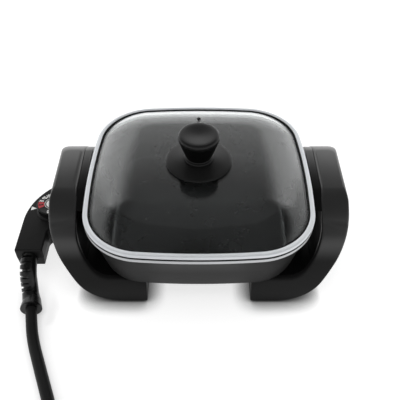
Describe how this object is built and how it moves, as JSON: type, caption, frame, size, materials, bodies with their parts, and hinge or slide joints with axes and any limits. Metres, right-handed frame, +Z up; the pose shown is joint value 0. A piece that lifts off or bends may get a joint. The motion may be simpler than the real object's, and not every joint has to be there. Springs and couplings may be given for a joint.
{
  "type": "electric skillet",
  "caption": "Square electric skillet with a lift-off glass lid, side wings that carry it as handles and feet, and a plug-in temperature control with dial and cord.",
  "frame": {"origin": "middle of the box round the object without its cord, on the table under the rubber feet", "axes": "+X to the right along the longest side, +Y to the back, +Z up"},
  "size_m": [0.413, 0.581, 0.1797],
  "materials": {
    "pan_coating": "dark non-stick coating on cast aluminium, bare machined rim",
    "element_sheath": "oxidised tube sheath",
    "plated_steel": "plated steel",
    "insulator": "matt ceramic",
    "black_plastic": "fine moulded texture",
    "wing_plastic": "satin moulded plastic",
    "foot_rubber": "soft rubber",
    "lid_glass": "clear tempered glass",
    "band_steel": "satin steel band",
    "seal_rubber": "black silicone",
    "knob_plastic": "satin phenolic",
    "control_plastic": "satin moulded plastic",
    "contact_brass": "plain brass",
    "wire_cover": "wire insulation",
    "cord_rubber": "round rubber cord",
    "relief_rubber": "moulded rubber",
    "dial_plastic": "dark dial with pale marks",
    "cam_plastic": "natural plastic"
  },
  "bodies": {
    "base": {"pan": "pan_coating", "heating_element": "element_sheath", "terminal_pins": "plated_steel", "pin_insulators": "insulator", "terminal_guard": "black_plastic", "guard_screws": "plated_steel", "left_wing": "wing_plastic", "right_wing": "wing_plastic", "left_wing_liner": "black_plastic", "right_wing_liner": "black_plastic", "leg_screws": "plated_steel", "heat_spacers": "insulator", "rubber_feet": "foot_rubber"},
    "lid": {"lid_glass": "lid_glass", "lid_rim": "band_steel", "lid_seal": "seal_rubber", "steam_vent": "seal_rubber", "knob": "knob_plastic", "knob_skirt": "knob_plastic", "knob_screw": "plated_steel", "knob_washer": "plated_steel", "knob_gasket": "seal_rubber"},
    "control": {"control_top": "control_plastic", "control_bottom": "control_plastic", "control_nose": "black_plastic", "control_screws": "plated_steel", "contact_sleeves": "contact_brass", "sensor_probe": "plated_steel", "thermostat_frame": "plated_steel", "bimetal_blade": "contact_brass", "contact_blade": "contact_brass", "lead_wires": "wire_cover", "cord_tail": "cord_rubber", "cord_clamp": "black_plastic", "strain_relief": "relief_rubber", "power_cord": "cord_rubber", "power_cord_coil": "cord_rubber", "cord_tie": "seal_rubber", "mains_plug": "relief_rubber", "plug_pins": "contact_brass"},
    "dial": {"dial": "dial_plastic", "dial_shaft": "plated_steel", "dial_cam": "cam_plastic"}
  },
  "joints": [
    {"name": "lid_lift", "type": "slide", "parent": "base", "child": "lid", "axis": [0, 0, 1], "range_m": [0, 0.12]},
    {"name": "control_pull", "type": "slide", "parent": "base", "child": "control", "axis": [-1, 0, 0], "range_m": [0, 0.09]},
    {"name": "dial_turn", "type": "hinge", "parent": "control", "child": "dial", "pos_m": [-0.1695, -0.005, 0.056], "axis": [0, 0, -1], "range_deg": [0, 270]}
  ]
}
